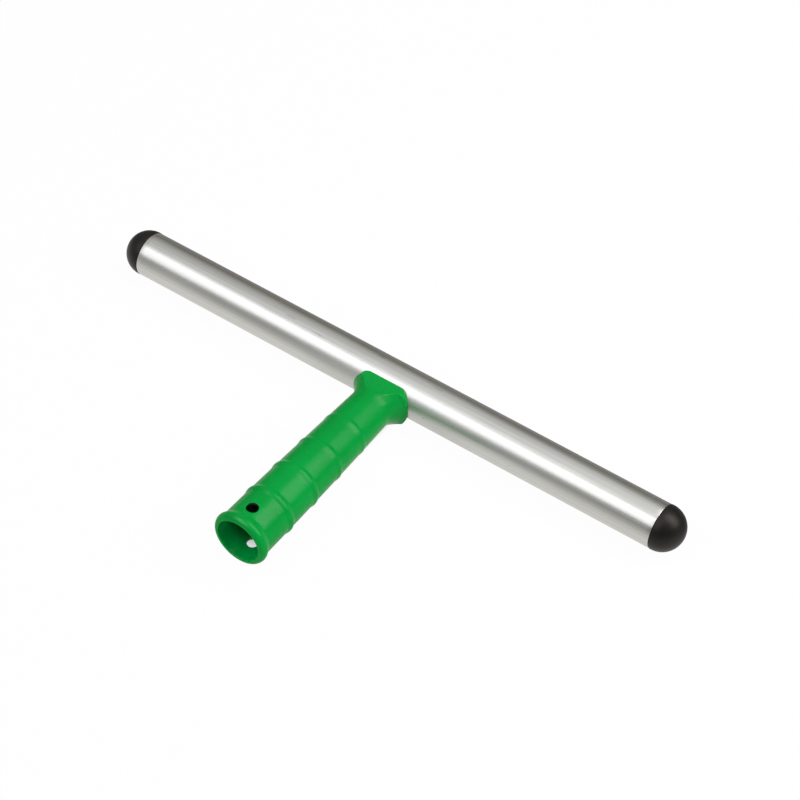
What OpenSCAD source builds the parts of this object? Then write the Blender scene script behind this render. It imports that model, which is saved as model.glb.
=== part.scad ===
// Fixed T-bar of a window scrubber: a round aluminium tube that carries the
// washing sleeve, a plastic handle with a pole socket, and two domed end caps.
// Millimetres. X runs along the tube, the pole leaves towards -Y, Z is up.
// The origin is where the socket's axis crosses the axis of the lock hole.

/* [Tube] */
// Outer diameter of the tube
tube_d = 25; // [22:0.5:30]
// Wall thickness of the tube
tube_wall = 1.5; // [1:0.1:2]
// Length of the tube between its two cut ends
tube_len = 328; // [200:1:500]

/* [End caps] */
// How far the rim of a cap stands proud of the tube
cap_proud = 0.15; // [0:0.05:0.2]
// Straight rim between the tube's end and the dome
cap_rim = 1; // [0.5:0.1:3]
// Height of the dome above its rim
dome_h = 12.5; // [8:0.5:16]
// Wall thickness of a cap
cap_wall = 2; // [1.2:0.1:3]
// Length of the plug inside the tube
plug_len = 18; // [12:1:30]
// Number of gripping rings round the plug
plug_rings = 3; // [1:1:4]
// Height of a gripping ring above the plug
plug_ring_h = 0.5; // [0.3:0.1:0.8]
// Width of a gripping ring at its foot
plug_ring_w = 1.6; // [1:0.1:2.5]

/* [Handle] */
// Distance from the lock hole to the tube's axis
reach = 122.2; // [114:0.1:150]
// Distance from the lock hole to the mouth of the socket
lock_inset = 12.2; // [10:0.1:16]
// Diameter of the lock hole through both walls
lock_d = 6.5; // [4:0.1:8]
// Bore of the socket at its mouth
socket_d = 25; // [23:0.1:25.6]
// Depth of the straight part of the socket
socket_straight = 26; // [20:1:34]
// Bore at the inner end of the socket
socket_end_d = 20.4; // [16:0.1:21]
// Thickness of the web that closes the socket
web_t = 3; // [2:0.1:5]
// Diameter of the grip behind the lip
grip_d = 29; // [28.6:0.1:31]
// Diameter of the grip at its neck
neck_d = 24.1; // [23.6:0.1:26]
// Distance from the tube's axis to the neck
neck_s = 22; // [20:0.5:26]
// How strongly the taper of the grip is crowned
grip_crown = 1.5; // [1:0.1:2]

/* [Grip rings] */
// Number of raised rings on the grip
ring_count = 4; // [1:1:4]
// Distance from the tube's axis to the first ring
ring_first = 44.9; // [40:0.1:48]
// Distance from one ring to the next
ring_pitch = 21.2; // [16:0.1:22]
// Height of the ring next to the tube
ring_h_first = 0.3; // [0.1:0.05:0.8]
// Height of the ring next to the lip
ring_h_last = 0.7; // [0.1:0.05:1.2]
// Width of a ring's side towards the mouth
ring_w_mouth = 3.4; // [2:0.1:6]
// Width of a ring's side towards the tube
ring_w_tube = 2.4; // [2:0.1:6]

/* [Lip] */
// Diameter of the lip round the mouth
lip_d = 31.7; // [31.2:0.1:36]
// Length of the rounded front of the lip
lip_front = 3.2; // [2:0.1:5]
// Length of the hollow sweep behind the lip
lip_back = 4.2; // [3:0.1:8]
// Width of the flat ring between the bore and the rounded front
lip_flat = 1; // [0.6:0.1:1.4]
// Break on the edge of the bore
mouth_break = 0.4; // [0.2:0.1:0.5]

/* [Saddle] */
// Width of the saddle along the tube
saddle_w = 34.8; // [32:0.1:44]
// Height of the saddle where it meets the tube
saddle_h = 19.9; // [17:0.1:21]
// Slope of the flats on the saddle's top and underside
flat_angle = 9; // [4:0.5:12]
// Thickness of the saddle's rim beside the tube
rim_t = 0.5; // [0.3:0.1:3]
// Radius by which the rim is rounded towards the tube
rim_round = 4.8; // [2:0.1:5]
// Length of the flare from its rim to its root
flare_len = 9; // [6:0.5:12]
// How full the sweep of the flare is, where 2 is an elliptical sweep
flare_sweep = 1.4; // [1.2:0.1:2.4]
// Wall round the pocket inside the saddle
saddle_wall = 2.2; // [1.6:0.1:3]

/* [Fastening] */
// Diameter of a screw over its thread
screw_d = 4.8; // [4:0.1:5.4]
// Length of a screw below its head
screw_len = 22; // [18:0.5:24]
// Distance between the two screws
screw_gap = 14; // [13:0.5:15]
// Diameter of a screw's head
head_d = 9; // [8:0.1:9.6]
// Height of a screw's head
head_h = 3.2; // [2.6:0.1:3.8]
// Depth of the cross recess in a head
recess_h = 1.8; // [1:0.1:2]
// Diameter of a saddle washer
washer_d = 10; // [9.6:0.1:11]
// Thickness of a saddle washer at its middle
washer_t = 1.8; // [1.6:0.1:2.4]
// Diameter of a screw boss inside the saddle
boss_d = 8.8; // [8:0.1:9.6]
// Thickness of the ribs between the bosses
rib_t = 2.4; // [1.6:0.1:3]

/* [Clearances] */
// Gap round what is pressed or cut in, such as a plug or a thread
press_gap = 0.02; // [0.01:0.01:0.04]
// Gap between curved faces that seat on each other
seat_gap = 0.05; // [0.02:0.01:0.1]
// Gap round a screw that passes freely through a hole
pass_gap = 0.25; // [0.1:0.05:0.4]
// Gap round a washer that passes through its access hole
access_gap = 0.5; // [0.3:0.1:0.8]

/* [Hidden] */

// Colours as the photo shows them
aluminium_tint = [0.78, 0.78, 0.77];
green_tint = [0.0, 0.6, 0.24];
black_tint = [0.12, 0.11, 0.11];
steel_tint = [0.7, 0.71, 0.72];

// Facets on large and on small round faces
round_fn = 96;
small_fn = 48;
// Steps in a curved stretch of an outline
arc_steps = 8;

tube_r = tube_d / 2;
tube_bore_r = tube_r - tube_wall;
cap_r = tube_r + cap_proud;

// Along the handle, s is the distance from the tube's axis towards the mouth
mouth_s = reach + lock_inset;
straight_end_s = mouth_s - socket_straight;
grip_end_s = mouth_s - lip_front - lip_back;
contact_s = sqrt(pow(tube_r, 2) - pow(saddle_h / 2, 2));
rim_s = tube_r + rim_t;
flare_root_s = rim_s + flare_len;

// Along a screw, everything stacks up from the tube's inner wall
washer_s = tube_bore_r - washer_t;
screw_tip_s = washer_s + screw_len;
pocket_end_s = screw_tip_s + 0.8;
socket_end_s = pocket_end_s + web_t;

// The rim of the saddle is rounded over a little more than it stands off
rim_drop = rim_s - contact_s + 0.3;
access_d = washer_d + 2 * access_gap;
pass_d = screw_d + 2 * pass_gap;

// A soft step from 1 at t = 0 to 0 at t = 1
function soft_step(t) = (1 + cos(180 * min(1, abs(t)))) / 2;

function ring_s(i) = ring_first + i * ring_pitch;
function ring_h(i) = ring_h_first + (ring_h_last - ring_h_first) * i / max(1, ring_count - 1);
// Radius of the grip without its rings
function grip_r(s) = grip_d / 2 - (grip_d - neck_d) / 2
    * pow(max(0, grip_end_s - s) / (grip_end_s - neck_s), grip_crown);
// Outline points over ring i, from its side towards the tube to its other side
function ring_points(i) = [
    for (k = [-arc_steps:arc_steps])
        let (s = ring_s(i) + k / arc_steps * (k < 0 ? ring_w_tube : ring_w_mouth))
            [grip_r(s) + ring_h(i) * soft_step(k / arc_steps), s]
];
// Radius of the flare, u running from 0 at its root to 1 at its rim
function flare_r(u) = neck_d / 2 + (saddle_w - neck_d) / 2
    * (1 - pow(1 - pow(u, flare_sweep), 1 / flare_sweep));

function rim_points() = [
    for (k = [0:arc_steps]) let (a = 90 * k / arc_steps - 90)
        [saddle_w / 2 - rim_round * (1 - cos(a)), rim_s + rim_drop * sin(a)]
];
function flare_points() = [
    for (k = [1:2 * arc_steps]) let (u = 1 - k / (2 * arc_steps))
        [flare_r(u), flare_root_s - u * flare_len]
];
function grip_points() = [
    for (i = [0:ring_count - 1]) each concat(
        [let (s = ring_s(i) - ring_pitch / 2) [grip_r(s), s]],
        ring_points(i))
];
function lip_points() = concat(
    [for (k = [0:arc_steps]) let (t = k / arc_steps)
        [lip_d / 2 - (lip_d - grip_d) / 2 * soft_step(t), grip_end_s + lip_back * t]],
    [for (k = [1:arc_steps]) let (a = 90 * k / arc_steps)
        [lip_d / 2 - (lip_d / 2 - socket_d / 2 - lip_flat) * (1 - cos(a)),
         mouth_s - lip_front * (1 - sin(a))]],
    [[socket_d / 2 + mouth_break, mouth_s], [socket_d / 2, mouth_s - mouth_break]]
);

// Puts a shape drawn along +Z from the tube's axis onto the handle's axis
module along_handle() {
    translate([0, reach, 0]) rotate([90, 0, 0]) children();
}

module along_tube() {
    translate([0, reach, 0]) rotate([0, 90, 0]) children();
}

// One child at each of the two screws, drawn along the handle's axis
module at_screw(side) {
    translate([side * screw_gap / 2, 0, 0]) children();
}

module handle_blank() {
    rotate_extrude($fn = round_fn)
        polygon(concat([[0, rim_s - rim_drop]], rim_points(), flare_points(),
                       grip_points(), lip_points(), [[0, mouth_s - mouth_break]]));
}

// What is cut away above one flat of the saddle
module flat_cut() {
    end_s = ring_first;
    end_h = saddle_h / 2 + (end_s - contact_s) * tan(flat_angle);
    rotate([90, 0, 90]) linear_extrude(height = 2 * saddle_w, center = true)
        polygon([[saddle_h / 2, 0], [saddle_h / 2, contact_s], [end_h, end_s],
                 [saddle_w, end_s], [saddle_w, 0]]);
}

// The hollow inside the saddle that keeps its walls even
module saddle_pocket() {
    intersection() {
        cylinder(r1 = neck_d / 2 - saddle_wall + 1, r2 = neck_d / 2 - saddle_wall,
                 h = pocket_end_s, $fn = round_fn);
        translate([-saddle_w, -saddle_h / 2 + saddle_wall, 0])
            cube([2 * saddle_w, saddle_h - 2 * saddle_wall, pocket_end_s]);
    }
}

// Two screw bosses and a cross of ribs that stand in the pocket
module bosses() {
    rib_w = saddle_h - 2 * saddle_wall;
    for (side = [-1, 1]) at_screw(side) cylinder(d = boss_d, h = pocket_end_s, $fn = small_fn);
    translate([-screw_gap / 2, -rib_t / 2, 0]) cube([screw_gap, rib_t, pocket_end_s]);
    translate([-rib_t / 2, -rib_w / 2, 0]) cube([rib_t, rib_w, pocket_end_s]);
}

module socket() {
    translate([0, 0, straight_end_s])
        cylinder(d = socket_d, h = socket_straight + 1, $fn = round_fn);
    translate([0, 0, socket_end_s])
        cylinder(d1 = socket_end_d, d2 = socket_d, h = straight_end_s - socket_end_s, $fn = round_fn);
}

module lock_hole() {
    translate([0, 0, reach]) rotate([90, 0, 0])
        cylinder(d = lock_d, h = 2 * lip_d, center = true, $fn = small_fn);
}

module handle() {
    color(green_tint) along_handle() difference() {
        handle_blank();
        flat_cut();
        mirror([0, 1, 0]) flat_cut();
        difference() {
            saddle_pocket();
            bosses();
        }
        rotate([0, 90, 0])
            cylinder(r = tube_r + seat_gap, h = 2 * saddle_w, center = true, $fn = round_fn);
        for (side = [-1, 1]) at_screw(side)
            cylinder(d = screw_d + 2 * press_gap, h = screw_tip_s + 0.4, $fn = small_fn);
        socket();
        lock_hole();
    }
}

module tube() {
    color(aluminium_tint) difference() {
        along_tube() cylinder(r = tube_r, h = tube_len, center = true, $fn = round_fn);
        along_tube() cylinder(r = tube_bore_r, h = tube_len + 1, center = true, $fn = round_fn);
        along_handle() for (side = [-1, 1]) at_screw(side) {
            cylinder(d = pass_d, h = tube_d, $fn = small_fn);
            mirror([0, 0, 1]) cylinder(d = access_d, h = tube_d, $fn = small_fn);
        }
    }
}

// Half section of a cap, with the plug below and the dome above the tube's end
module cap_section() {
    plug_r = tube_bore_r - press_gap - plug_ring_h;
    hollow_r = plug_r - cap_wall + 0.2;
    ring_step = plug_len / (plug_rings + 0.5);
    ring_grip = [
        for (i = [plug_rings - 1:-1:0]) let (z = -(i + 0.6) * ring_step)
            each [[plug_r, z - plug_ring_w / 2],
                  [plug_r + plug_ring_h, z - plug_ring_w / 6],
                  [plug_r + plug_ring_h, z + plug_ring_w / 6],
                  [plug_r, z + plug_ring_w / 2]]
    ];
    dome = [for (k = [0:2 * arc_steps]) let (a = 90 * k / (2 * arc_steps))
        [cap_r * cos(a), cap_rim + dome_h * sin(a)]];
    hollow = [for (k = [2 * arc_steps:-1:0]) let (a = 90 * k / (2 * arc_steps))
        [hollow_r * cos(a), (dome_h - cap_wall) * sin(a)]];
    polygon(concat([[hollow_r, -plug_len], [plug_r - 0.6, -plug_len], [plug_r, -plug_len + 1]],
                   ring_grip, [[plug_r, 0], [cap_r, 0]], dome, hollow));
}

module end_cap() {
    color(black_tint) along_tube() translate([0, 0, tube_len / 2])
        rotate_extrude($fn = round_fn) cap_section();
}

module end_cap_left() {
    mirror([1, 0, 0]) end_cap();
}

module end_cap_right() {
    end_cap();
}

// Pan-head screw with its head inside the tube and its tip in the handle
module screw(side) {
    tip = 2;
    color(steel_tint) along_handle() at_screw(side) translate([0, 0, washer_s])
        difference() {
            rotate_extrude($fn = small_fn) polygon(concat(
                [[0, -head_h]],
                [for (k = [0:arc_steps]) let (a = 90 * k / arc_steps)
                    [head_d / 2 * (0.45 + 0.55 * sin(a)), -head_h + 0.6 * head_h * (1 - cos(a))]],
                [[head_d / 2, 0], [screw_d / 2, 0], [screw_d / 2, screw_len - tip],
                 [screw_d / 5, screw_len], [0, screw_len]]
            ));
            for (turn = [0, 90]) rotate([0, 0, turn])
                translate([-head_d / 4, -head_d / 18, -head_h - 1])
                    cube([head_d / 2, head_d / 9, recess_h + 1]);
        }
}

module screw_left() {
    screw(-1);
}

module screw_right() {
    screw(1);
}

// Washer with a flat face for the head and a round back for the tube
module washer(side) {
    color(steel_tint) along_handle() intersection() {
        at_screw(side) translate([0, 0, washer_s]) difference() {
            cylinder(d = washer_d, h = washer_t + 1, $fn = small_fn);
            translate([0, 0, -1]) cylinder(d = pass_d, h = washer_t + 3, $fn = small_fn);
        }
        rotate([0, 90, 0])
            cylinder(r = tube_bore_r - press_gap, h = 2 * saddle_w, center = true, $fn = round_fn);
    }
}

module washer_left() {
    washer(-1);
}

module washer_right() {
    washer(1);
}

tube();
handle();
end_cap_left();
end_cap_right();
screw_left();
screw_right();
washer_left();
washer_right();
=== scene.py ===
import math

import bmesh
import bpy
from mathutils import Matrix, Vector


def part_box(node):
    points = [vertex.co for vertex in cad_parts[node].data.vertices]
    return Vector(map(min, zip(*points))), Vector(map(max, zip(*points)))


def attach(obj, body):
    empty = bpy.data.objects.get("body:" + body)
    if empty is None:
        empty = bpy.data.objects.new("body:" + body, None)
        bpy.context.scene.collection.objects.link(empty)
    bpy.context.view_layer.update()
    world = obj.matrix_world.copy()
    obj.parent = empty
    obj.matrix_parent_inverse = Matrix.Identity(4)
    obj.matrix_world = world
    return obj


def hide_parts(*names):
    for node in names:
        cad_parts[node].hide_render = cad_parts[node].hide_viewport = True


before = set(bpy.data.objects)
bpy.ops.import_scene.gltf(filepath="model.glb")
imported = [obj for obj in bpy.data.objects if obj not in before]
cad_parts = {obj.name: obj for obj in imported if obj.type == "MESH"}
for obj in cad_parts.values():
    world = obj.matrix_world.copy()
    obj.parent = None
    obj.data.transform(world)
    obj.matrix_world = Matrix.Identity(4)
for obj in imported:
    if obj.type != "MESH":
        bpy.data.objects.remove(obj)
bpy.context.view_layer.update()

# Metres in the row's frame: +X runs along the tube, the pole leaves towards -Y, Z is up.
# Shapes are worked out in millimetres and scaled by MM where a point is placed.
MM = 0.001
BODY = "root"

# The tube and its caps, read off the frame
tube_low, tube_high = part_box("tube")
cap_low, cap_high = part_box("end_cap_right")
_, handle_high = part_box("handle")
TUBE_R = (tube_high.z - tube_low.z) / 2 / MM
TUBE_END = tube_high.x / MM
REACH = (tube_high.y + tube_low.y) / 2 / MM
TUBE_WALL = 1.5
TUBE_EDGE = 0.12
CAP_R = (cap_high.z - cap_low.z) / 2 / MM
CAP_RIM = 1.0
CAP_EDGE = 0.3
CAP_GAP = 0.22
CAP_GAP_DEPTH = 0.7
DOME_H = cap_high.x / MM - TUBE_END - CAP_RIM
PLUG_LEN = TUBE_END - cap_low.x / MM
PLUG_R = TUBE_R - TUBE_WALL - 0.02
PLUG_RINGS = 3
PLUG_RING_H = 0.5
PLUG_RING_HALF = 0.8
PLUG_CHAMFER = 0.8
PLUG_FACE = 1.8

# The two holes in the tube's far wall that let the screws through
SCREW_GAP = 14.0
ACCESS_R = 5.5
HOLE_EDGE = 0.3

# The handle, with s the distance from the tube's axis towards the mouth
LOCK_R = 3.25
MOUTH_S = REACH + 12.2
SOCKET_R = 12.5
SOCKET_STRAIGHT = 26.0
SOCKET_END_R = 10.2
SOCKET_END_S = 35.0
SOCKET_END_ROUND = 1.0
GRIP_R = 14.5
NECK_R = 12.05
NECK_S = 22.0
GRIP_CROWN = 1.5
RING_COUNT = 4
RING_FIRST = 44.9
RING_PITCH = 21.2
RING_H_FIRST = 0.3
RING_H_LAST = 0.7
RING_W_MOUTH = 3.4
RING_FALL_FIRST = 2.0
RING_FALL_LAST = 2.8
LIP_R = handle_high.z / MM
LIP_FRONT = 3.2
LIP_BACK = 4.2
LIP_FLAT = 1.0
MOUTH_EDGE = 0.4
MOUTH_FACE = 0.3
GRIP_END_S = MOUTH_S - LIP_FRONT - LIP_BACK

# The saddle at the handle's foot, a hair off the tube
SADDLE_R = 17.4
SADDLE_H = 19.9
FLAT_SLOPE = math.tan(math.radians(9))
RIM_S = TUBE_R + 0.5
RIM_ROUND = 4.8
FLARE_LEN = 9.0
FLARE_SWEEP = 1.4
SEAT_R = TUBE_R + 0.05
SEAT_EDGE = 0.1
CREASE_ROUND = 0.36
CONTACT_S = math.sqrt(TUBE_R ** 2 - (SADDLE_H / 2) ** 2)
RIM_DROP = RIM_S - CONTACT_S + 0.3
FLARE_ROOT_S = RIM_S + FLARE_LEN

# The wings' section against a circle: lower above the axis, fuller below it, from the tube to the neck
TOP_DIP = 0.105
BELOW_SWELL = 0.07
WING_START_S = CONTACT_S + 1
WING_FULL_S = CONTACT_S + 4.4
WING_FADE_S = 12.0
WING_END_S = 20.0

# The saddle's outline is rounded a little everywhere, and softly at the flare's root on the top and
# the underside, which start at these sines of the angle from the side
OUTLINE_STEP = 0.05
OUTLINE_ROUND = 0.4
OUTLINE_END_S = FLARE_ROOT_S + 6
ROOT_ROUND = 1.7
ROOT_SOFT_S = FLARE_ROOT_S - 6
ROOT_SOFTEST_S = FLARE_ROOT_S - 2
ROOT_SOFT_SINE = 0.5
ROOT_SOFTEST_SINE = 0.72

# The camera, fitted to the photo. Its place is given from the middle of the tube, in millimetres.
FRAME_SIDE = 800
SENSOR_WIDTH = 36
FOCAL_PIXELS = 2678.0
VIEW_AZIMUTH = 33.66
VIEW_ELEVATION = 46.85
VIEW_ROLL = -2.30
VIEW_DISTANCE = 1406.25
VIEW_ASIDE = 2.875
VIEW_BELOW = 8.625
AIM_BELOW = 0.5


def degrees_sin(angle):
    return math.sin(math.radians(angle))


def degrees_cos(angle):
    return math.cos(math.radians(angle))


def blend(low, high, share):
    return low + (high - low) * share


def ease(value, start, end):
    share = min(1, max(0, (value - start) / (end - start)))
    return share * share * (3 - 2 * share)


def soft_step(share):
    """Falls softly from 1 at 0 to 0 at 1, on both sides."""
    return (1 + math.cos(math.pi * min(1, abs(share)))) / 2


# Shader maths


class Shade:
    """A socket in a material's tree. Arithmetic on it adds Math nodes, and node() adds any other."""

    def __init__(self, tree, socket=None):
        self.tree = tree
        self.socket = socket

    def node(self, kind, settings=None, inputs=None, output=0):
        made = self.tree.nodes.new("ShaderNode" + kind)
        for name, value in (settings or {}).items():
            if name == "stops":
                self.set_stops(made.color_ramp, value)
            else:
                setattr(made, name, value)
        for name, value in (inputs or {}).items():
            if isinstance(value, Shade):
                self.tree.links.new(value.socket, made.inputs[name])
            else:
                made.inputs[name].default_value = value
        return Shade(self.tree, made.outputs[output])

    def set_stops(self, ramp, stops):
        while len(ramp.elements) < len(stops):
            ramp.elements.new(1)
        for element, (place, colour) in zip(ramp.elements, stops):
            element.position = place
            element.color = (*colour, 1)

    def maths(self, operation, *terms):
        return self.node("Math", {"operation": operation}, dict(enumerate(terms)))

    def __add__(self, other):
        return self.maths("ADD", self, other)

    def __radd__(self, other):
        return self.maths("ADD", other, self)

    def __sub__(self, other):
        return self.maths("SUBTRACT", self, other)

    def __rsub__(self, other):
        return self.maths("SUBTRACT", other, self)

    def __mul__(self, other):
        return self.maths("MULTIPLY", self, other)

    def __rmul__(self, other):
        return self.maths("MULTIPLY", other, self)

    def __truediv__(self, other):
        return self.maths("DIVIDE", self, other)

    def __rtruediv__(self, other):
        return self.maths("DIVIDE", other, self)

    def __pow__(self, other):
        return self.maths("POWER", self, other)

    def larger(self, other):
        return self.maths("MAXIMUM", self, other)

    def between(self, start, end):
        """0 below start, 1 above end, and a soft rise between them."""
        return self.node("MapRange", {"interpolation_type": "SMOOTHSTEP"},
                         {"Value": self, "From Min": start, "From Max": end})

    def place(self):
        """Where the shaded point lies in the row's frame, in metres."""
        return self.node("TexCoord", output=3)

    def scaled(self, x, y, z):
        return self.node("VectorMath", {"operation": "MULTIPLY"}, {0: self, 1: (x, y, z)})

    def moved(self, shift):
        return self.node("VectorMath", {"operation": "ADD"}, {0: self, 1: shift})

    def apart(self):
        split = self.node("SeparateXYZ", inputs={0: self})
        outputs = split.socket.node.outputs
        return [Shade(self.tree, outputs[axis]) for axis in "XYZ"]

    def noise(self, scale, detail=2.0, roughness=0.5):
        return self.node("TexNoise", inputs={"Vector": self, "Scale": scale, "Detail": detail,
                                             "Roughness": roughness})

    def mixed(self, first, second):
        """The first colour where this is 0 and the second where it is 1."""
        return self.node("Mix", {"data_type": "RGBA"}, {0: self, 6: first, 7: second}, output=2)

    def dimmed(self, share):
        """The colour times a number."""
        return self.node("VectorMath", {"operation": "SCALE"}, {0: self, 3: share})

    def near(self, point, sizes):
        """1 at a point and 0 outside the egg shape of the given half sizes round it."""
        away = self.moved(tuple(-v for v in point)).scaled(*(1 / v for v in sizes))
        far = self.node("VectorMath", {"operation": "LENGTH"}, {0: away}, output=1)
        return far.between(1.0, 0.35)

    def bump(self, strength, distance):
        return self.node("Bump", inputs={"Height": self, "Strength": strength, "Distance": distance})


def finish(name, shader_inputs, paint):
    """A material: shader_inputs are the constants of its shader, and paint gives what varies."""
    material = bpy.data.materials.new(name)
    material.use_nodes = True
    shader = material.node_tree.nodes["Principled BSDF"]
    for socket, value in shader_inputs.items():
        shader.inputs[socket].default_value = value
    for socket, shade in paint(Shade(material.node_tree)).items():
        material.node_tree.links.new(shade.socket, shader.inputs[socket])
    return material


# Linear colours of the finishes, and of the light and shade painted inside the handle
DEEP_GREEN, FRESH_GREEN = (0.0, 0.31, 0.042, 1), (0.0, 0.345, 0.049, 1)
PALE_SPECK, FROSTED_GREEN = (0.12, 0.5, 0.18, 1), (0.008, 0.38, 0.062, 1)
# Painted glow and painted shade for the socket's lining, and painted shade deep in the socket and on the lock
# hole's wall
PAINTED_SHADE_LINING, PAINTED_GLOW_LINING = (0.0, 0.3, 0.062, 1), (0.0, 0.46, 0.085, 1)
PAINTED_SOCKET_SHADE, PAINTED_HOLE_SHADE = (0.016, 0.04, 0.022, 1), (0.014, 0.02, 0.014, 1)
DULL_ALUMINIUM, BRIGHT_ALUMINIUM = (0.535, 0.532, 0.507, 1), (0.655, 0.655, 0.635, 1)
SCUFF = (0.2, 0.19, 0.17, 1)
DEEP_BLACK, SOFT_BLACK = (0.0055, 0.0044, 0.0037, 1), (0.0078, 0.0062, 0.0052, 1)
DULL_ZINC, BRIGHT_ZINC = (0.5, 0.5, 0.49, 1), (0.62, 0.62, 0.6, 1)


def paint_green_plastic(start):
    """Clouded green with pale specks, frosted on the saddle, with painted glow and painted shade inside the
    socket and painted shade on the upper lock hole's wall.
    """
    place = start.place()
    x, y, z = place.apart()
    cloud = place.noise(38, 3)
    flow = place.scaled(1, 0.25, 1).noise(160, 2)
    speck = place.noise(2600, 1).between(0.74, 0.8)
    frost = place.noise(1500, 2).between(0.35, 0.65) * y.between(100 * MM, 106 * MM)
    colour = (cloud * 0.6 + flow * 0.4).between(0.3, 0.7).mixed(DEEP_GREEN, FRESH_GREEN)
    colour = (speck * 0.35).mixed(colour, PALE_SPECK)
    colour = (frost * 0.5).mixed(colour, FROSTED_GREEN)
    # Painted light and shade inside the socket: a painted glow on its +X side stands in for light that comes
    # through the wall, painted shade on its -X side, and painted shade that deepens further in
    from_axis = (x * x + z * z) ** 0.5
    in_bore = from_axis.between((SOCKET_R + 0.2) * MM, (SOCKET_R - 0.1) * MM)
    painted_lining = x.between(-12 * MM, 3 * MM).mixed(PAINTED_SHADE_LINING, PAINTED_GLOW_LINING)
    painted_lining = y.between(-5 * MM, 6 * MM).mixed(painted_lining, PAINTED_SOCKET_SHADE)
    colour = (in_bore * y.between(70 * MM, 50 * MM)).mixed(colour, painted_lining)
    # Painted shade on the wall of the upper lock hole, which lies in shade
    in_hole = (x * x + y * y).between((LOCK_R * 1.12 * MM) ** 2, (LOCK_R * MM) ** 2)
    hole_wall = in_hole * from_axis.between(GRIP_R * MM, (GRIP_R - 0.4) * MM)
    colour = (hole_wall * z.between(-2 * MM, 2 * MM)).mixed(colour, PAINTED_HOLE_SHADE)
    rough = 0.25 + (cloud - 0.5) * 0.1 + (flow - 0.5) * 0.06
    height = place.noise(900, 3) * 0.35 + place.noise(2400, 2) * 0.25
    return {"Base Color": colour, "Roughness": rough, "Normal": height.bump(0.12, 0.0002)}


# Scuffs and pits on the tube: place along it, degrees from +Y towards +Z, half length, half width, depth
TUBE_MARKS = [(-66, 102, 5, 0.7, 0.25), (-47, 109, 6, 0.5, 0.35), (-10, 79, 3.5, 0.5, 0.5),
              (3, 69, 3, 0.4, 0.4), (16.5, 54, 3, 0.4, 0.5), (27, 87, 5, 0.8, 0.25),
              (26.8, 172, 0.5, 0.55, 1.0), (80.6, 177, 0.6, 0.4, 0.6)]


def paint_aluminium(start):
    """Satin metal with streaks along the tube, smudges and scuffs, duller beside the saddle."""
    place = start.place()
    x, _, z = place.apart()
    streak = place.scaled(5, 1000, 1000).noise(1, 3, 0.6)
    broad = place.scaled(3, 240, 240).noise(1, 2)
    smudge = place.scaled(30, 110, 110).noise(1, 3)
    tone = (streak * 0.5 + broad * 0.3 + smudge * 0.2).between(0.32, 0.68)
    colour = tone.mixed(DULL_ALUMINIUM, BRIGHT_ALUMINIUM)
    worn = place.moved((place.noise(900, 2) - 0.5) * 0.0012)
    for along, around, length, width, depth in TUBE_MARKS:
        across, up = TUBE_R * degrees_cos(around), TUBE_R * degrees_sin(around)
        mark = worn.near((along * MM, (REACH + across) * MM, up * MM), (length * MM, width * MM, width * MM))
        colour = (mark * depth).mixed(colour, SCUFF)
    beside_saddle = x.larger(0 - x).between(64 * MM, 32 * MM) * z.between(7.8 * MM, 6.2 * MM)
    rough = 0.3 + beside_saddle * 0.13 + (streak - 0.5) * 0.14 + (smudge - 0.5) * 0.08
    return {"Base Color": colour, "Roughness": rough, "Normal": (streak + broad * 0.6).bump(0.1, 0.0002)}


def paint_black_plastic(start):
    """Finely grained black, a little warm."""
    place = start.place()
    cloud = place.noise(120, 3)
    colour = cloud.between(0.3, 0.7).mixed(DEEP_BLACK, SOFT_BLACK)
    rough = 0.42 + (cloud - 0.5) * 0.12
    return {"Base Color": colour, "Roughness": rough, "Normal": place.noise(1500, 3).bump(0.1, 0.0002)}


def paint_zinc(start):
    """Clouded plating."""
    cloud = start.place().noise(400, 3)
    colour = cloud.between(0.3, 0.7).mixed(DULL_ZINC, BRIGHT_ZINC)
    return {"Base Color": colour, "Roughness": 0.28 + cloud * 0.15}


green_plastic = finish("green_plastic", {"Specular IOR Level": 0.08}, paint_green_plastic)
aluminium = finish("satin_aluminium", {"Metallic": 1.0}, paint_aluminium)
black_plastic = finish("black_plastic", {"Specular IOR Level": 0.31, "Specular Tint": (1.0, 0.94, 0.89, 1)},
                       paint_black_plastic)
zinc = finish("zinc_plated_steel", {"Metallic": 1.0}, paint_zinc)


# Meshes


class Skin:
    """The points and faces of one piece while it is being made."""

    def __init__(self):
        self.points = []
        self.faces = []

    def row(self, points):
        """Adds points and gives their numbers."""
        start = len(self.points)
        self.points += points
        return list(range(start, len(self.points)))

    def strip(self, one, other, left_out=()):
        """Joins two closed rows of the same count, without the steps that are left out."""
        count = len(one)
        for i in range(count):
            if i not in left_out:
                j = (i + 1) % count
                self.faces.append((one[i], one[j], other[j], other[i]))

    def sheet(self, rows, block_rows=(), block_size=0, blocked=()):
        """Joins rows in turn, without the blocked steps in block_size strips from each of block_rows on."""
        for k, (one, other) in enumerate(zip(rows, rows[1:])):
            in_block = any(first <= k < first + block_size for first in block_rows)
            self.strip(one, other, blocked if in_block else ())

    def fan(self, row, middle):
        """Closes a row with triangles to a point in its middle."""
        centre = self.row([middle])[0]
        for i in range(len(row)):
            self.faces.append((row[i], row[(i + 1) % len(row)], centre))

    def build(self, name, material, stands_for):
        mesh = bpy.data.meshes.new(name)
        mesh.from_pydata([Vector(p) * MM for p in self.points], [], self.faces)
        work = bmesh.new()
        work.from_mesh(mesh)
        loose = [v for v in work.verts if not v.link_faces]
        bmesh.ops.delete(work, geom=loose, context="VERTS")
        bmesh.ops.recalc_face_normals(work, faces=work.faces)
        for face in work.faces:
            face.smooth = True
        work.to_mesh(mesh)
        work.free()
        mesh.materials.append(material)
        piece = bpy.data.objects.new(name, mesh)
        bpy.context.scene.collection.objects.link(piece)
        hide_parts(stands_for)
        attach(piece, BODY)
        return piece


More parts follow.
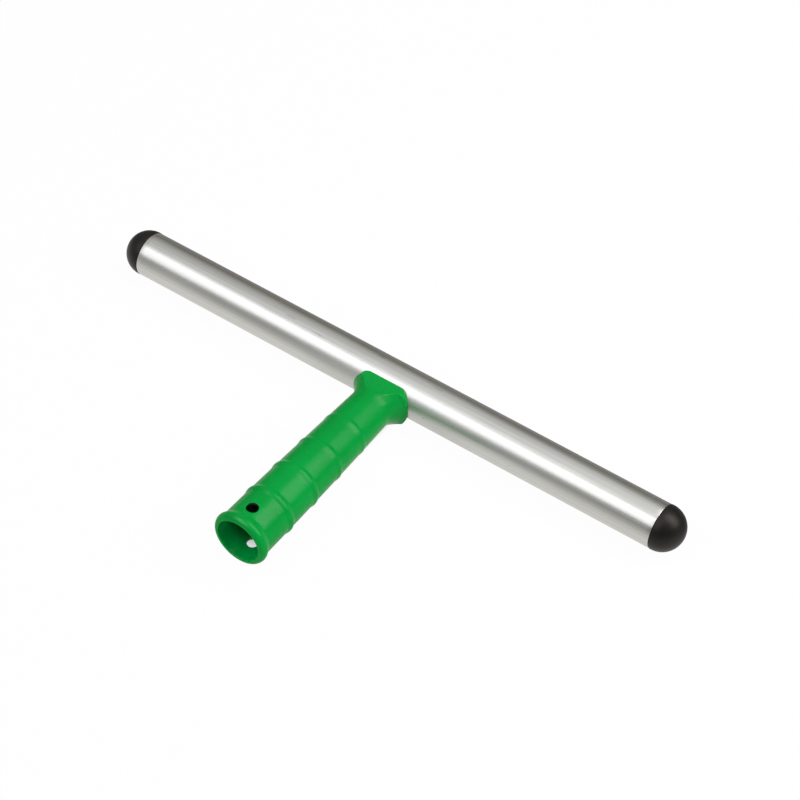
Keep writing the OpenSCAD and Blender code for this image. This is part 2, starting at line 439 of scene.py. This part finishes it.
# Rings round a hole: shares of the way from its block's edge to its rim, and steps of its rounded rim
HOLE_SHARES = (0.3, 0.55, 0.78, 1.0)
HOLE_ARC = 4


def quarter_arc(steps):
    """Sine and cosine pairs from 0 to 90 degrees."""
    return [(math.sin(math.pi / 2 * k / steps), math.cos(math.pi / 2 * k / steps))
            for k in range(steps + 1)]


def hole_rim(half_cells):
    """Cells and angles round a square block of a grid, once round, for a hole in its middle."""
    n = half_cells
    cells = ([(n, k) for k in range(-n, n)] + [(-k, n) for k in range(-n, n)]
             + [(-n, -k) for k in range(-n, n)] + [(k, -n) for k in range(-n, n)])
    return [(across, along, math.atan2(along, across)) for across, along in cells]


def hole_rings(skin, rim, on_surface, edge_points, radius, edge, sink):
    """Rings of points from a block's edge down to a hole's wall.

    on_surface(u, v) gives the point of the surface, edge_points are the block's own points as
    (index, u, v), sink(point, depth) lowers a point into the wall.
    """
    outer = [index for index, _, _ in edge_points]
    widest = radius + edge
    for share in HOLE_SHARES:
        inner = skin.row([on_surface(blend(u, widest * math.cos(angle), share),
                                     blend(v, widest * math.sin(angle), share))
                          for (_, u, v), (_, _, angle) in zip(edge_points, rim)])
        skin.strip(outer, inner)
        outer = inner
    for sine, cosine in quarter_arc(HOLE_ARC)[1:]:
        reach = radius + edge * (1 - sine)
        ring = [sink(on_surface(reach * math.cos(angle), reach * math.sin(angle)), edge * (1 - cosine))
                for _, _, angle in rim]
        inner = skin.row(ring)
        skin.strip(outer, inner)
        outer = inner
    return outer


# The handle

# Columns of points: some from +X to the crease and some from there to +Z, and so on round
QUARTER_SIDE = 20
QUARTER_FLAT = 16
QUARTER = QUARTER_SIDE + QUARTER_FLAT
ROUND = 4 * QUARTER

# They crowd beside the crease on the saddle, and are spread evenly on the grip
CROWDING = 1.5
CREASE_MOST = 84
EVEN_FROM_S = 24
EVEN_BY_S = 40

# The foot under the saddle's edge: how far its rings lie inwards and down the edge, then shares of its width
FOOT_EDGE = ((0.07, 0.6), (0.25, 1.0))
FOOT_SHARES = (0.85, 0.65, 0.4, 0.2)

# Steps of the flare's curve, and rows of points on the rim and on the flare, where they crowd at the rim
FLARE_STEPS = 120
RIM_ROWS = 16
FLARE_ROWS = 56
FLARE_CROWDING = 1.4

# How far apart rows of points lie on the grip and in the socket, and steps of the round edges
GRIP_STEP = 1.2
RING_STEP = 0.2
HOLE_STEP = 1.0
LIP_STEP = 0.5
BORE_STEP = 1.5
TAPER_STEP = 4
LIP_ARC = 14
EDGE_ARC = 5
SOCKET_END_RADII = (6, 3)

# Each lock hole is cut into a square block: half its count of cells, and half its side
LOCK_HALF = 8
LOCK_BLOCK = 5.5
LOCK_STEP = LOCK_BLOCK / LOCK_HALF
LOCK_LOW_S, LOCK_HIGH_S = REACH - LOCK_BLOCK, REACH + LOCK_BLOCK


def flat_height(s):
    """Half the height between the saddle's flats."""
    return SADDLE_H / 2 + max(0, s - CONTACT_S) * FLAT_SLOPE


def wing_height(s, above):
    """How high the wings' section is against a circle."""
    amount = ease(s, WING_START_S, WING_FULL_S) * (1 - ease(s, WING_FADE_S, WING_END_S))
    return 1 - TOP_DIP * amount if above else 1 + BELOW_SWELL * amount


def soft_least(first, second, width):
    """The smaller of two numbers, rounded where they lie within width of each other."""
    overlap = max(width - abs(first - second), 0) / width
    return min(first, second) - overlap * overlap * width / 4


def grip_radius(s):
    """The crowned grip without its rings and its lip."""
    return GRIP_R - (GRIP_R - NECK_R) * (max(0, GRIP_END_S - s) / (GRIP_END_S - NECK_S)) ** GRIP_CROWN


def ring_height(s):
    """How far a raised ring stands off the grip: a soft rise from the mouth, then a quicker fall."""
    height = 0
    for i in range(RING_COUNT):
        apart = s - RING_FIRST - i * RING_PITCH
        share = i / (RING_COUNT - 1)
        width = RING_W_MOUTH if apart > 0 else blend(RING_FALL_FIRST, RING_FALL_LAST, share)
        height += blend(RING_H_FIRST, RING_H_LAST, share) * soft_step(apart / width)
    return height


def grip_outline(s):
    lip = 0
    if s > GRIP_END_S:
        lip = (LIP_R - GRIP_R) * (1 - soft_step((s - GRIP_END_S) / LIP_BACK))
    return grip_radius(s) + ring_height(s) + lip


def blend_point(one, other, share):
    return [blend(one[axis], other[axis], share) for axis in (0, 1)]


def smooth_line(points, step, spread):
    """The line at even steps, rounded over about spread."""
    lengths = [0]
    for (r0, s0), (r1, s1) in zip(points, points[1:]):
        lengths.append(lengths[-1] + math.hypot(r1 - r0, s1 - s0))
    count = int(lengths[-1] / step)
    even, k = [], 0
    for i in range(count + 1):
        want = lengths[-1] * i / count
        while k < len(lengths) - 2 and lengths[k + 1] < want:
            k += 1
        share = (want - lengths[k]) / max(1e-9, lengths[k + 1] - lengths[k])
        even.append(blend_point(points[k], points[k + 1], share))
    reach = int(3 * spread / step)
    weights = [math.exp(-0.5 * (k * step / spread) ** 2) for k in range(-reach, reach + 1)]
    soft = []
    for i in range(len(even)):
        near = min(reach, i, len(even) - 1 - i)
        picked = even[i - near:i + near + 1]
        shares = weights[reach - near:reach + near + 1]
        soft.append([sum(share * point[axis] for share, point in zip(shares, picked)) / sum(shares)
                     for axis in (0, 1)])
    return soft


def saddle_outlines():
    """Radius and s from the rim beside the tube, over the flare, to the start of the grip.

    The first line turns crisply at the flare's root, the second one softly.
    """
    rim = [(SADDLE_R - RIM_ROUND * (1 - degrees_cos(a)), RIM_S + RIM_DROP * degrees_sin(a))
           for a in range(-90, 1, 2)]
    flare = []
    for k in range(1, FLARE_STEPS + 1):
        u = 1 - (k / FLARE_STEPS) ** 2
        swept = 1 - (1 - u ** FLARE_SWEEP) ** (1 / FLARE_SWEEP)
        flare.append((NECK_R + (SADDLE_R - NECK_R) * swept, FLARE_ROOT_S - u * FLARE_LEN))
    root = [(grip_outline(s), s) for s in spaced(FLARE_ROOT_S, OUTLINE_END_S, 0.5)]
    line = rim + flare + root
    crisp = smooth_line(line, OUTLINE_STEP, OUTLINE_ROUND)
    soft = smooth_line(line, OUTLINE_STEP, ROOT_ROUND)
    soft_root = [blend_point(one, other, ease(one[1], ROOT_SOFT_S, ROOT_SOFTEST_S))
                 for one, other in zip(crisp, soft)]
    return crisp, soft_root


def column_angle(column, radius, s):
    """The degrees of a column from +X towards +Z. On the saddle one column runs along the crease."""
    turn, within = divmod(column % ROUND, QUARTER)
    if turn % 2:
        within = QUARTER - within
    height = radius * wing_height(s, turn < 2)
    crease = min(CREASE_MOST, math.degrees(math.asin(min(1, flat_height(s) / height))))
    if within <= QUARTER_SIDE:
        bound = crease * (1 - (1 - within / QUARTER_SIDE) ** CROWDING)
    else:
        share = (within - QUARTER_SIDE) / QUARTER_FLAT
        bound = math.degrees(math.acos(degrees_cos(crease) * (1 - share ** CROWDING)))
    angle = blend(bound, 90 * within / QUARTER, ease(s, EVEN_FROM_S, EVEN_BY_S))
    return (angle, 180 - angle, 180 + angle, 360 - angle)[turn]


def handle_point(column, radius, s):
    """A point on the handle's skin, where a circle is cut off softly by the saddle's flats."""
    angle = column_angle(column, radius, s)
    x, z = radius * degrees_cos(angle), radius * degrees_sin(angle)
    height = soft_least(abs(z) * wing_height(s, z > 0), flat_height(s), CREASE_ROUND)
    return (x, REACH - s, math.copysign(height, z))


def seat_start(column, outline):
    """Where along the outline this column leaves the tube."""
    before = None
    for k, (radius, s) in enumerate(outline):
        _, _, z = handle_point(column, radius, s)
        room = math.hypot(s, z) - SEAT_R - SEAT_EDGE
        if room > 0 and before is not None:
            return k - room / (room - before)
        before = room
    return 0


def softness(column):
    """1 on the handle's top and underside, where the flare's root is soft, and 0 at its crisp sides."""
    sine = degrees_sin(column_angle(column, NECK_R, FLARE_ROOT_S))
    return ease(abs(sine), ROOT_SOFT_SINE, ROOT_SOFTEST_SINE)


def outline_at(outlines, place, column):
    """Radius and s at a place along the outline, counted in its steps."""
    k = min(int(place), len(outlines[0]) - 2)
    crisp, soft = (blend_point(line[k], line[k + 1], place - k) for line in outlines)
    return blend_point(crisp, soft, softness(column))


def spaced(start, end, step):
    """Even places after the start up to the end, about a step apart."""
    count = max(1, round(abs(end - start) / step))
    return [blend(start, end, k / count) for k in range(1, count + 1)]


def foot_rings(edge):
    """Rings from the saddle's edge inwards over the tube. They close the foot over its hidden hollow."""
    rings = []
    for inward, drop in FOOT_EDGE:
        away = SEAT_R + SEAT_EDGE * (1 - drop)
        ring = []
        for x, y, z in edge:
            shrink = 1 - inward / math.hypot(x, z)
            angle = math.atan2(z, REACH - y) * shrink
            ring.append((x * shrink, REACH - away * math.cos(angle), away * math.sin(angle)))
        rings.append(ring)
    for share in FOOT_SHARES:
        ring = []
        for x, y, z in rings[1]:
            angle = math.atan2(z, REACH - y) * share
            ring.append((x * share, REACH - SEAT_R * math.cos(angle), SEAT_R * math.sin(angle)))
        rings.append(ring)
    return rings


def grip_line():
    """Radius and s from the saddle to the lip's widest place, and where the block starts in it."""
    stops = [OUTLINE_END_S]
    for i in range(RING_COUNT):
        middle = RING_FIRST + i * RING_PITCH
        stops += spaced(stops[-1], middle - RING_FALL_LAST, GRIP_STEP)
        stops += spaced(middle - RING_FALL_LAST, middle + RING_W_MOUTH, RING_STEP)
    stops += spaced(stops[-1], LOCK_LOW_S, HOLE_STEP)
    block_start = len(stops) - 2
    stops += spaced(LOCK_LOW_S, LOCK_HIGH_S, LOCK_STEP)
    stops += spaced(LOCK_HIGH_S, MOUTH_S - LIP_FRONT, LIP_STEP)
    return [(grip_outline(s), s) for s in stops[1:]], block_start


def mouth_line():
    """Radius and s from the lip's widest place, over its front, into the mouth."""
    line = [(LIP_R - (LIP_R - SOCKET_R - LIP_FLAT) * (1 - cosine), MOUTH_S - LIP_FRONT * (1 - sine))
            for sine, cosine in quarter_arc(LIP_ARC)[1:]]
    line += [(SOCKET_R + MOUTH_EDGE + MOUTH_FACE, MOUTH_S)]
    line += [(SOCKET_R + MOUTH_EDGE * (1 - sine), MOUTH_S - MOUTH_EDGE * (1 - cosine))
             for sine, cosine in quarter_arc(EDGE_ARC)]
    return line


def socket_line():
    """Radius and s from the mouth to the socket's closed end, and where the block starts in it."""
    straight_end = MOUTH_S - SOCKET_STRAIGHT
    line = [(SOCKET_R, s) for s in spaced(MOUTH_S - MOUTH_EDGE, LOCK_HIGH_S, BORE_STEP)]
    block_start = len(line) - 1
    line += [(SOCKET_R, s) for s in spaced(LOCK_HIGH_S, LOCK_LOW_S, LOCK_STEP)]
    line += [(SOCKET_R, s) for s in spaced(LOCK_LOW_S, straight_end, BORE_STEP)]
    line += [(blend(SOCKET_END_R, SOCKET_R, (s - SOCKET_END_S) / (straight_end - SOCKET_END_S)), s)
             for s in spaced(straight_end, SOCKET_END_S + SOCKET_END_ROUND, TAPER_STEP)]
    line += [(SOCKET_END_R - SOCKET_END_ROUND * (1 - cosine), SOCKET_END_S + SOCKET_END_ROUND * (1 - sine))
             for sine, cosine in quarter_arc(EDGE_ARC)[1:]]
    line += [(radius, SOCKET_END_S) for radius in SOCKET_END_RADII]
    return line, block_start


def make_handle():
    skin = Skin()
    outlines = saddle_outlines()
    crisp = outlines[0]
    widest = max(range(len(crisp)), key=lambda k: crisp[k][0])
    starts = [seat_start(c, crisp) for c in range(ROUND)]

    def outline_ring(places):
        """One point for each column, at that column's place along the outline."""
        return [handle_point(c, *outline_at(outlines, place, c)) for c, place in enumerate(places)]

    edge = outline_ring(starts)
    rows = [skin.row(ring) for ring in reversed(foot_rings(edge))]
    skin.fan(rows[0], (0, REACH - SEAT_R, 0))
    rows.append(skin.row(edge))
    for k in range(1, RIM_ROWS + 1):
        rows.append(skin.row(outline_ring([blend(start, widest, k / RIM_ROWS) for start in starts])))
    for k in range(1, FLARE_ROWS + 1):
        place = blend(widest, len(crisp) - 1, (k / FLARE_ROWS) ** FLARE_CROWDING)
        rows.append(skin.row(outline_ring([place] * ROUND)))
    grip, grip_block = grip_line()
    outer_block = len(rows) + grip_block
    for radius, s in grip + mouth_line():
        rows.append(skin.row([handle_point(c, radius, s) for c in range(ROUND)]))
    socket, socket_block = socket_line()
    inner_block = len(rows) + socket_block
    angles = [column_angle(c, GRIP_R, MOUTH_S) for c in range(ROUND)]
    for radius, s in socket:
        rows.append(skin.row([(radius * degrees_cos(a), REACH - s, radius * degrees_sin(a)) for a in angles]))
    skin.fan(rows[-1], (0, REACH - SOCKET_END_S, 0))

    top, bottom = QUARTER, 3 * QUARTER
    blocked = {c for middle in (top, bottom) for c in range(middle - LOCK_HALF, middle + LOCK_HALF)}
    skin.sheet(rows, (outer_block, inner_block), 2 * LOCK_HALF, blocked)
    cut_lock_hole(skin, rows, outer_block, inner_block, top, 1)
    cut_lock_hole(skin, rows, outer_block, inner_block, bottom, -1)
    return skin.build("handle_shell", green_plastic, "handle")


def cut_lock_hole(skin, rows, outer_block, inner_block, middle, side):
    """The hole through the upper wall, side 1, or the lower one, side -1, round the middle column."""
    rim = hole_rim(LOCK_HALF)

    def wall_point(radius, u, v):
        return (u, -v, side * math.sqrt(radius ** 2 - u ** 2))

    def edge_points(first_row, forward):
        found = []
        for across, along, _ in rim:
            row = first_row + (LOCK_HALF + along if forward else LOCK_HALF - along)
            index = rows[row][middle - side * across]
            x, y, _ = skin.points[index]
            found.append((index, x, -y))
        return found

    outer = hole_rings(skin, rim, lambda u, v: wall_point(grip_outline(REACH + v), u, v),
                       edge_points(outer_block, True), LOCK_R, HOLE_EDGE,
                       lambda p, depth: (p[0], p[1], p[2] - side * depth))
    inner = hole_rings(skin, rim, lambda u, v: wall_point(SOCKET_R, u, v),
                       edge_points(inner_block, False), LOCK_R, HOLE_EDGE / 2,
                       lambda p, depth: (p[0], p[1], p[2] + side * depth))
    skin.strip(outer, inner)


# The tube

TUBE_ROUND = 192
TUBE_STEP = 3
TUBE_ARC = 3
BORE_FACE = 0.1

# Each access hole is cut into a square block: half its count of cells, and half its side
ACCESS_HALF = 12
ACCESS_BLOCK = 6.8


def tube_ring(x, radius, count):
    """Points round the tube's axis, from +Y towards +Z."""
    turns = [2 * math.pi * k / count for k in range(count)]
    return [(x, REACH + radius * math.cos(turn), radius * math.sin(turn)) for turn in turns]


def make_tube():
    skin = Skin()
    bore = TUBE_R - TUBE_WALL
    low, high = -SCREW_GAP / 2 - ACCESS_BLOCK, SCREW_GAP / 2 + ACCESS_BLOCK
    step = ACCESS_BLOCK / ACCESS_HALF
    stations = [-TUBE_END + TUBE_EDGE] + spaced(-TUBE_END + TUBE_EDGE, low, TUBE_STEP)
    left_block = len(stations) - 1
    stations += spaced(low, low + 2 * ACCESS_BLOCK, step)
    stations += spaced(low + 2 * ACCESS_BLOCK, high - 2 * ACCESS_BLOCK, 1)
    right_block = len(stations) - 1
    stations += spaced(high - 2 * ACCESS_BLOCK, high, step)
    stations += spaced(high, TUBE_END - TUBE_EDGE, TUBE_STEP)
    outside, inside = ([skin.row(tube_ring(x, radius, TUBE_ROUND)) for x in stations]
                       for radius in (TUBE_R, bore))
    blocked = {k % TUBE_ROUND for k in range(-ACCESS_HALF, ACCESS_HALF)}
    for rows in (outside, inside):
        skin.sheet(rows, (left_block, right_block), 2 * ACCESS_HALF, blocked)
    for end, sign in ((0, -1), (-1, 1)):
        rows = [outside[end]]
        for sine, cosine in quarter_arc(TUBE_ARC)[1:]:
            past, radius = TUBE_END - TUBE_EDGE * (1 - sine), TUBE_R - TUBE_EDGE * (1 - cosine)
            rows.append(skin.row(tube_ring(sign * past, radius, TUBE_ROUND)))
        rows.append(skin.row(tube_ring(sign * TUBE_END, bore + BORE_FACE, TUBE_ROUND)))
        skin.sheet(rows + [inside[end]])
    cut_access_hole(skin, outside, inside, left_block, low + ACCESS_BLOCK)
    cut_access_hole(skin, outside, inside, right_block, high - ACCESS_BLOCK)
    return skin.build("tube_shell", aluminium, "tube")


def cut_access_hole(skin, outside, inside, first, middle):
    """A hole through the tube's far wall at x = middle, in the block that starts at the first row."""
    rim = hole_rim(ACCESS_HALF)
    bore = TUBE_R - TUBE_WALL

    def wall_point(radius, u, v):
        return (middle + u, REACH + math.sqrt(radius ** 2 - v ** 2), v)

    def edge_points(rows):
        found = []
        for across, along, _ in rim:
            index = rows[first + ACCESS_HALF + across][along % TUBE_ROUND]
            x, _, z = skin.points[index]
            found.append((index, x - middle, z))
        return found

    outer = hole_rings(skin, rim, lambda u, v: wall_point(TUBE_R, u, v), edge_points(outside),
                       ACCESS_R, HOLE_EDGE / 2, lambda p, depth: (p[0], p[1] - depth, p[2]))
    inner = hole_rings(skin, rim, lambda u, v: wall_point(bore, u, v), edge_points(inside),
                       ACCESS_R, HOLE_EDGE / 2, lambda p, depth: (p[0], p[1] + depth, p[2]))
    skin.strip(outer, inner)


# The end caps

CAP_ROUND = 144
DOME_ARC = 40

# A gripping ring's rows across, as shares of its half width
RING_ACROSS = (-1, -0.6, -0.3, 0, 0.3, 0.6, 1)


def cap_outline():
    """Distance past the tube's end and radius, from the plug's tip to the dome's top."""
    core = PLUG_R - PLUG_RING_H
    line = [(-PLUG_LEN, core - PLUG_CHAMFER - PLUG_FACE), (-PLUG_LEN, core - PLUG_CHAMFER)]
    line += [(-PLUG_LEN + PLUG_CHAMFER, core)]
    for i in reversed(range(PLUG_RINGS)):
        middle = -(i + 0.6) * PLUG_LEN / (PLUG_RINGS + 0.5)
        line += [(middle + PLUG_RING_HALF * k, core + PLUG_RING_H * soft_step(k))
                 for k in RING_ACROSS]
    gap_floor = CAP_R - CAP_GAP_DEPTH
    line += [(0, core), (0, gap_floor), (CAP_GAP, gap_floor + 0.1), (CAP_GAP, CAP_R - CAP_EDGE)]
    line += [(CAP_GAP + CAP_EDGE * (1 - cosine), CAP_R - CAP_EDGE * (1 - sine))
             for sine, cosine in quarter_arc(EDGE_ARC)[1:]]
    line += [(CAP_RIM * k / 3, CAP_R) for k in (2, 3)]
    line += [(CAP_RIM + DOME_H * sine, CAP_R * cosine) for sine, cosine in quarter_arc(DOME_ARC)[1:-1]]
    return line


def make_cap(name, side):
    skin = Skin()
    rows = [skin.row(tube_ring(side * (TUBE_END + past), radius, CAP_ROUND))
            for past, radius in cap_outline()]
    skin.sheet(rows)
    skin.fan(rows[0], (side * (TUBE_END - PLUG_LEN), REACH, 0))
    skin.fan(rows[-1], (side * (TUBE_END + CAP_RIM + DOME_H), REACH, 0))
    return skin.build(name + "_shell", black_plastic, name)


handle = make_handle()
make_tube()
make_cap("end_cap_left", -1)
make_cap("end_cap_right", 1)
for node_name in ("screw_left", "screw_right", "washer_left", "washer_right"):
    node_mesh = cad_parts[node_name].data
    node_mesh.materials.clear()
    node_mesh.materials.append(zinc)


# The camera


def place_camera():
    across = Vector((degrees_cos(VIEW_AZIMUTH), degrees_sin(VIEW_AZIMUTH), 0))
    ahead = Vector((-degrees_sin(VIEW_AZIMUTH) * degrees_cos(VIEW_ELEVATION),
                    degrees_cos(VIEW_AZIMUTH) * degrees_cos(VIEW_ELEVATION), -degrees_sin(VIEW_ELEVATION)))
    down = ahead.cross(across)
    right = across * degrees_cos(VIEW_ROLL) + down * degrees_sin(VIEW_ROLL)
    below = down * degrees_cos(VIEW_ROLL) - across * degrees_sin(VIEW_ROLL)
    data = bpy.data.cameras.new("photo_camera")
    data.sensor_width = SENSOR_WIDTH
    data.lens = data.sensor_width * FOCAL_PIXELS / FRAME_SIDE
    data.shift_y = AIM_BELOW / FRAME_SIDE
    data.clip_start, data.clip_end = 0.05, 50
    camera = bpy.data.objects.new("photo_camera", data)
    bpy.context.scene.collection.objects.link(camera)
    turn = Matrix((right, -below, -ahead)).transposed().to_4x4()
    middle = Vector((0, REACH, 0))
    eye = middle - ahead * VIEW_DISTANCE + right * VIEW_ASIDE + below * VIEW_BELOW
    camera.matrix_world = Matrix.Translation(eye * MM) @ turn
    bpy.context.scene.camera = camera


place_camera()


# The studio

FLOOR_REACH = 6.0
FLOOR_GAP = 0.0002
WALL_RADIUS = 2.4
WALL_HEIGHT = 4.2
WALL_SIDES = 64
BACK_FOOT, BACK_TOP = (0.192, 0.178, 0.142, 1), (0.72, 0.725, 0.73, 1)
FRONT_FOOT, FRONT_TOP = (0.43, 0.43, 0.42, 1), (0.76, 0.76, 0.76, 1)
WHITE, PAPER, GREY_AIR = (1, 1, 1, 1), (0.9, 0.9, 0.9, 1), (0.38, 0.38, 0.38, 1)
LAMP_DISTANCE = 1.6

# Directions from the part to the lamps. The front one's back points a little another way.
FRONT = (-0.36, -0.53, 0.76)
FRONT_BACK = (-0.055, -0.69, 0.714)
FRONT_GLINT = (-0.27, -0.4, 0.87)
SIDE = (0.571, 0.36, 0.738)
UP = (0, 0, 1)
ALONG_HANDLE = (0, 1, 0)

# How light the floor looks in the tube, by place along Y: lighter near the tube, dark behind it
FLOOR_IN_MIRRORS = [(-100, 0.47), (-20, 0.55), (50, 0.65), (85, 0.86),
                    (100, 0.98), (110, 1.0), (125, 0.85), (160, 0.2)]
FLOOR_FROM, FLOOR_TO = -200, 200
TONED_SHARE = 0.85

# The share of the floor that is plain white to the camera, beside the part and under it: the rest is lit
WHITE_BESIDE, WHITE_UNDER = 0.97, 0.25


def stage_piece(name, points, faces, material, hidden_from_camera):
    mesh = bpy.data.meshes.new(name)
    mesh.from_pydata(points, [], faces)
    mesh.materials.append(material)
    piece = bpy.data.objects.new(name, mesh)
    bpy.context.scene.collection.objects.link(piece)
    piece.visible_camera = not hidden_from_camera


def fresh_shader(name):
    """A material with nothing but its output, and the start of its tree."""
    material = bpy.data.materials.new(name)
    material.use_nodes = True
    material.node_tree.nodes.remove(material.node_tree.nodes["Principled BSDF"])
    return material, Shade(material.node_tree)


def end_with(material, shade):
    tree = material.node_tree
    tree.links.new(shade.socket, tree.nodes["Material Output"].inputs["Surface"])
    return material


def ray_kinds(start):
    """1 for rays from the camera, and 1 for rays mirrored or let through by a surface."""
    path = start.node("LightPath").socket.node
    camera, glossy, through = (Shade(start.tree, path.outputs[name])
                               for name in ("Is Camera Ray", "Is Glossy Ray", "Is Transmission Ray"))
    return camera, glossy.larger(through)


def floor_material():
    """White to the camera, with a share of lit white that keeps the shadow. Mirrors see it toned."""
    material, start = fresh_shader("white_floor")
    camera, mirrored = ray_kinds(start)
    x, y, _ = start.place().apart()
    beside = x.larger(0 - x).between(3 * MM, 9 * MM)
    past_handle = (y - REACH * MM / 2).larger(REACH * MM / 2 - y).between(52 * MM, 69 * MM)
    open_floor = beside.larger(past_handle)
    stops = [((place - FLOOR_FROM) / (FLOOR_TO - FLOOR_FROM), (tone, tone * 0.99, tone * 0.96))
             for place, tone in FLOOR_IN_MIRRORS]
    tone = start.node("ValToRGB", {"stops": stops}, {0: (y / MM - FLOOR_FROM) / (FLOOR_TO - FLOOR_FROM)})
    lit = start.node("BsdfDiffuse", inputs={"Color": PAPER})
    white = start.node("Emission", inputs={"Color": WHITE, "Strength": 1.0})
    toned = start.node("Emission", inputs={"Color": tone, "Strength": 1.0})
    white_share = WHITE_UNDER + open_floor * (WHITE_BESIDE - WHITE_UNDER)
    paper = start.node("MixShader", inputs={0: camera * white_share, 1: lit, 2: white})
    return end_with(material, start.node("MixShader", inputs={0: mirrored * TONED_SHARE, 1: paper, 2: toned}))


def wall_material():
    """A glowing cloth, darker towards the floor, at the back and, in mirrors, on the right."""
    material, start = fresh_shader("grey_wall")
    x, y, z = start.place().apart()
    rise = z.between(0.0, WALL_HEIGHT)
    front = (0 - y).between(-WALL_RADIUS, WALL_RADIUS)
    step = z.between(0.45, 2.1)
    back_tone = (rise * 0.35 + step * 0.65).mixed(BACK_FOOT, BACK_TOP)
    front_tone = rise.mixed(FRONT_FOOT, FRONT_TOP)
    right = x.between(-0.25 * WALL_RADIUS, 0.2 * WALL_RADIUS)
    _, mirrored = ray_kinds(start)
    colour = front.mixed(back_tone, front_tone).dimmed(0.6 + mirrored * (0.4 - right * 0.7))
    return end_with(material, start.node("Emission", inputs={"Color": colour}))


def build_floor_and_wall():
    # The part lies on its lip and its two caps, so the floor leans a little under it
    lip_foot = Vector((0, REACH - MOUTH_S + LIP_FRONT, -LIP_R)) * MM
    cap_foot = Vector((0, REACH, -CAP_R)) * MM
    along = (cap_foot - lip_foot).normalized()
    up = Vector((1, 0, 0)).cross(along).normalized()
    middle = (lip_foot + cap_foot) / 2 - up * FLOOR_GAP
    corners = [middle + Vector((x * FLOOR_REACH, 0, 0)) + along * y * FLOOR_REACH
               for x, y in ((-1, -1), (1, -1), (1, 1), (-1, 1))]
    stage_piece("floor", corners, [(0, 1, 2, 3)], floor_material(), False)
    turns = [2 * math.pi * k / WALL_SIDES for k in range(WALL_SIDES)]
    points = [(WALL_RADIUS * math.cos(turn), WALL_RADIUS * math.sin(turn), z)
              for z in (middle.z - 0.1, WALL_HEIGHT) for turn in turns]
    faces = [(k, (k + 1) % WALL_SIDES, WALL_SIDES + (k + 1) % WALL_SIDES, WALL_SIDES + k)
             for k in range(WALL_SIDES)]
    stage_piece("grey_wall", points, faces, wall_material(), True)


def softbox(name, towards, upright, width, height, radiance, tint=(1, 1, 1), back=None, glint_on=None):
    """A rectangular lamp that faces the part, or that faces away from its back where that is given.

    With glint_on, only that piece's shine sees it.
    """
    data = bpy.data.lights.new(name, "AREA")
    data.shape = "RECTANGLE"
    data.size, data.size_y = width, height
    data.energy = radiance * math.pi * width * height
    data.color = tint
    lamp = bpy.data.objects.new(name, data)
    bpy.context.scene.collection.objects.link(lamp)
    behind = Vector(back or towards).normalized()
    side = Vector(upright).cross(behind).normalized()
    turn = Matrix((side, behind.cross(side), behind)).transposed().to_4x4()
    target = Vector((0, REACH * 0.6, 0)) * MM
    lamp.matrix_world = Matrix.Translation(target + Vector(towards).normalized() * LAMP_DISTANCE) @ turn
    lamp.visible_camera = False
    if glint_on:
        lamp.visible_diffuse = False
        lit = bpy.data.collections.new(name + "_lit")
        lit.objects.link(glint_on)
        lamp.light_linking.receiver_collection = lit


def build_world():
    """White to the camera and in mirrors, and grey as a light."""
    world = bpy.data.worlds.new("studio_air")
    bpy.context.scene.world = world
    world.use_nodes = True
    tree = world.node_tree
    camera, mirrored = ray_kinds(Shade(tree))
    tone = (camera + mirrored).mixed(GREY_AIR, WHITE)
    tree.links.new(tone.socket, tree.nodes["Background"].inputs["Color"])


build_floor_and_wall()
build_world()
softbox("front_softbox", FRONT, UP, 1.75, 1.2, 1.34, (0.97, 0.985, 1.02), FRONT_BACK)
softbox("side_softbox", SIDE, ALONG_HANDLE, 1.6, 0.86, 4.5)
softbox("front_glint", FRONT_GLINT, UP, 1.3, 1.1, 7.6, glint_on=handle)
softbox("side_glint", SIDE, ALONG_HANDLE, 1.6, 0.86, 7.8, glint_on=handle)
bpy.context.scene.view_settings.view_transform = "Standard"
